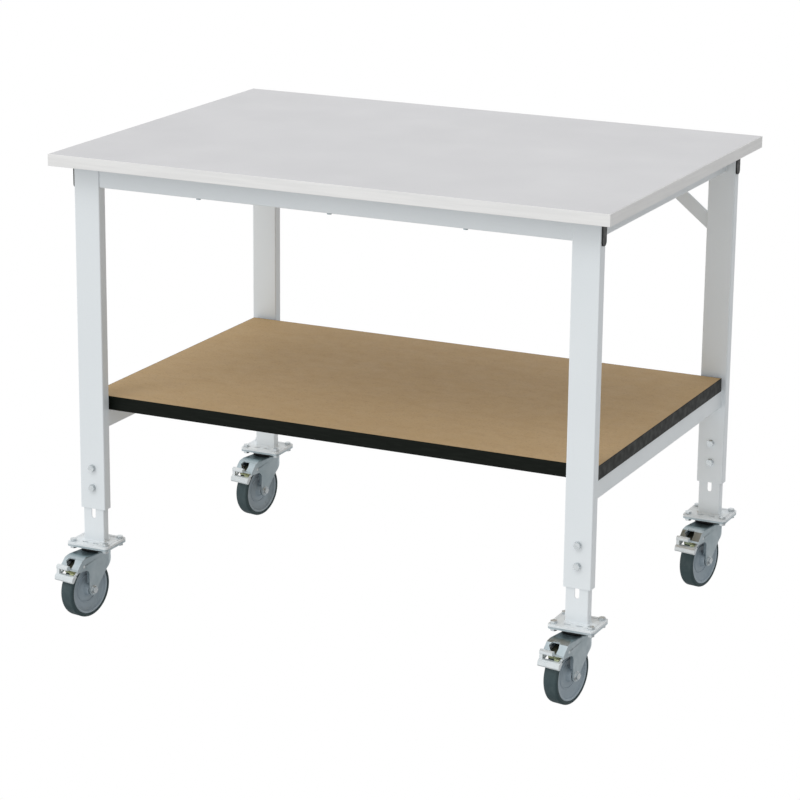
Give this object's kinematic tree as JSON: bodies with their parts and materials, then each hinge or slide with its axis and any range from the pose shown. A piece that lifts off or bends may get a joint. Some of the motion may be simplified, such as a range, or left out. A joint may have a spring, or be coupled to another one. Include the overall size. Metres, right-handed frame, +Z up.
{
  "type": "mobile workbench",
  "caption": "Height-adjustable mobile workbench: laminate worktop, tubular frame, lower shelf and total-lock swivel casters.",
  "frame": {"origin": "on the floor, under the middle of the whole envelope, caster pedals included", "axes": "+Z up, +X along the worktop's length to the right, +Y to the rear; -Y is the side with the clamp bolts"},
  "size_m": [1.25, 0.9547, 1.01],
  "materials": {
    "laminate": "light grey laminate, fine satin",
    "edging_light": "pale edge band",
    "fibreboard": "brown fibreboard, unpainted, matte",
    "edging_dark": "black edge band",
    "powder_coat": "light grey powder coat",
    "black_plastic": "black moulded plug",
    "zinc": "zinc plated pressing, satin",
    "zinc_bright": "bright zinc fastener",
    "yellow_zinc": "yellow passivated steel",
    "wheel_plastic": "blue-grey moulded polyamide",
    "tyre_rubber": "dark slate rubber",
    "pedal_plate": "pale silver brake pedal"
  },
  "bodies": {
    "root": {"worktop_board": "laminate", "worktop_edging": "edging_light", "worktop_screws": "zinc", "shelf_board": "fibreboard", "shelf_edging": "edging_dark", "shelf_screws": "zinc", "front_rail": "powder_coat", "rear_rail": "powder_coat", "left_top_rail": "powder_coat", "right_top_rail": "powder_coat", "left_shelf_bearer": "powder_coat", "right_shelf_bearer": "powder_coat", "left_rear_brace": "powder_coat", "right_rear_brace": "powder_coat", "leg_front_left": "powder_coat", "leg_front_right": "powder_coat", "leg_rear_left": "powder_coat", "leg_rear_right": "powder_coat", "rail_end_caps": "black_plastic", "clamp_bolts": "zinc_bright", "clamp_nuts": "zinc_bright"},
    "foot_front_left_body": {"foot_front_left": "powder_coat", "caster_plate_front_left": "zinc", "plate_bolts_front_left": "zinc_bright"},
    "swivel_front_left": {"fork_front_left": "zinc", "axle_front_left": "zinc_bright", "brake_bracket_front_left": "yellow_zinc"},
    "wheel_front_left": {"wheel_core_front_left": "wheel_plastic", "tyre_front_left": "tyre_rubber"},
    "brake_front_left": {"pedal_front_left": "pedal_plate"},
    "foot_front_right_body": {"foot_front_right": "powder_coat", "caster_plate_front_right": "zinc", "plate_bolts_front_right": "zinc_bright"},
    "swivel_front_right": {"fork_front_right": "zinc", "axle_front_right": "zinc_bright", "brake_bracket_front_right": "yellow_zinc"},
    "wheel_front_right": {"wheel_core_front_right": "wheel_plastic", "tyre_front_right": "tyre_rubber"},
    "brake_front_right": {"pedal_front_right": "pedal_plate"},
    "foot_rear_left_body": {"foot_rear_left": "powder_coat", "caster_plate_rear_left": "zinc", "plate_bolts_rear_left": "zinc_bright"},
    "swivel_rear_left": {"fork_rear_left": "zinc", "axle_rear_left": "zinc_bright", "brake_bracket_rear_left": "yellow_zinc"},
    "wheel_rear_left": {"wheel_core_rear_left": "wheel_plastic", "tyre_rear_left": "tyre_rubber"},
    "brake_rear_left": {"pedal_rear_left": "pedal_plate"},
    "foot_rear_right_body": {"foot_rear_right": "powder_coat", "caster_plate_rear_right": "zinc", "plate_bolts_rear_right": "zinc_bright"},
    "swivel_rear_right": {"fork_rear_right": "zinc", "axle_rear_right": "zinc_bright", "brake_bracket_rear_right": "yellow_zinc"},
    "wheel_rear_right": {"wheel_core_rear_right": "wheel_plastic", "tyre_rear_right": "tyre_rubber"},
    "brake_rear_right": {"pedal_rear_right": "pedal_plate"}
  },
  "joints": [
    {"name": "foot_height_front_left", "type": "slide", "parent": "root", "child": "foot_front_left_body", "axis": [0, 0, 1], "range_m": [-0.12, 0.06]},
    {"name": "caster_swivel_front_left", "type": "hinge", "parent": "foot_front_left_body", "child": "swivel_front_left", "pos_m": [-0.56, -0.3651, 0.146], "axis": [0, 0, 1], "continuous": true},
    {"name": "wheel_spin_front_left", "type": "hinge", "parent": "swivel_front_left", "child": "wheel_front_left", "pos_m": [-0.56695, -0.40449, 0.0625], "axis": [0.9848, -0.1736, 0], "continuous": true},
    {"name": "brake_pedal_front_left", "type": "hinge", "parent": "swivel_front_left", "child": "brake_front_left", "pos_m": [-0.57215, -0.43404, 0.122], "axis": [0.9848, -0.1736, 0], "range_deg": [0, 10]},
    {"name": "foot_height_front_right", "type": "slide", "parent": "root", "child": "foot_front_right_body", "axis": [0, 0, 1], "range_m": [-0.12, 0.06]},
    {"name": "caster_swivel_front_right", "type": "hinge", "parent": "foot_front_right_body", "child": "swivel_front_right", "pos_m": [0.56, -0.3651, 0.146], "axis": [0, 0, 1], "continuous": true},
    {"name": "wheel_spin_front_right", "type": "hinge", "parent": "swivel_front_right", "child": "wheel_front_right", "pos_m": [0.55305, -0.40449, 0.0625], "axis": [0.9848, -0.1736, 0], "continuous": true},
    {"name": "brake_pedal_front_right", "type": "hinge", "parent": "swivel_front_right", "child": "brake_front_right", "pos_m": [0.54785, -0.43404, 0.122], "axis": [0.9848, -0.1736, 0], "range_deg": [0, 10]},
    {"name": "foot_height_rear_left", "type": "slide", "parent": "root", "child": "foot_rear_left_body", "axis": [0, 0, 1], "range_m": [-0.12, 0.06]},
    {"name": "caster_swivel_rear_left", "type": "hinge", "parent": "foot_rear_left_body", "child": "swivel_rear_left", "pos_m": [-0.56, 0.4199, 0.146], "axis": [0, 0, 1], "continuous": true},
    {"name": "wheel_spin_rear_left", "type": "hinge", "parent": "swivel_rear_left", "child": "wheel_rear_left", "pos_m": [-0.56695, 0.38051, 0.0625], "axis": [0.9848, -0.1736, 0], "continuous": true},
    {"name": "brake_pedal_rear_left", "type": "hinge", "parent": "swivel_rear_left", "child": "brake_rear_left", "pos_m": [-0.57215, 0.35096, 0.122], "axis": [0.9848, -0.1736, 0], "range_deg": [0, 10]},
    {"name": "foot_height_rear_right", "type": "slide", "parent": "root", "child": "foot_rear_right_body", "axis": [0, 0, 1], "range_m": [-0.12, 0.06]},
    {"name": "caster_swivel_rear_right", "type": "hinge", "parent": "foot_rear_right_body", "child": "swivel_rear_right", "pos_m": [0.56, 0.4199, 0.146], "axis": [0, 0, 1], "continuous": true},
    {"name": "wheel_spin_rear_right", "type": "hinge", "parent": "swivel_rear_right", "child": "wheel_rear_right", "pos_m": [0.55305, 0.38051, 0.0625], "axis": [0.9848, -0.1736, 0], "continuous": true},
    {"name": "brake_pedal_rear_right", "type": "hinge", "parent": "swivel_rear_right", "child": "brake_rear_right", "pos_m": [0.54785, 0.35096, 0.122], "axis": [0.9848, -0.1736, 0], "range_deg": [0, 10]}
  ]
}
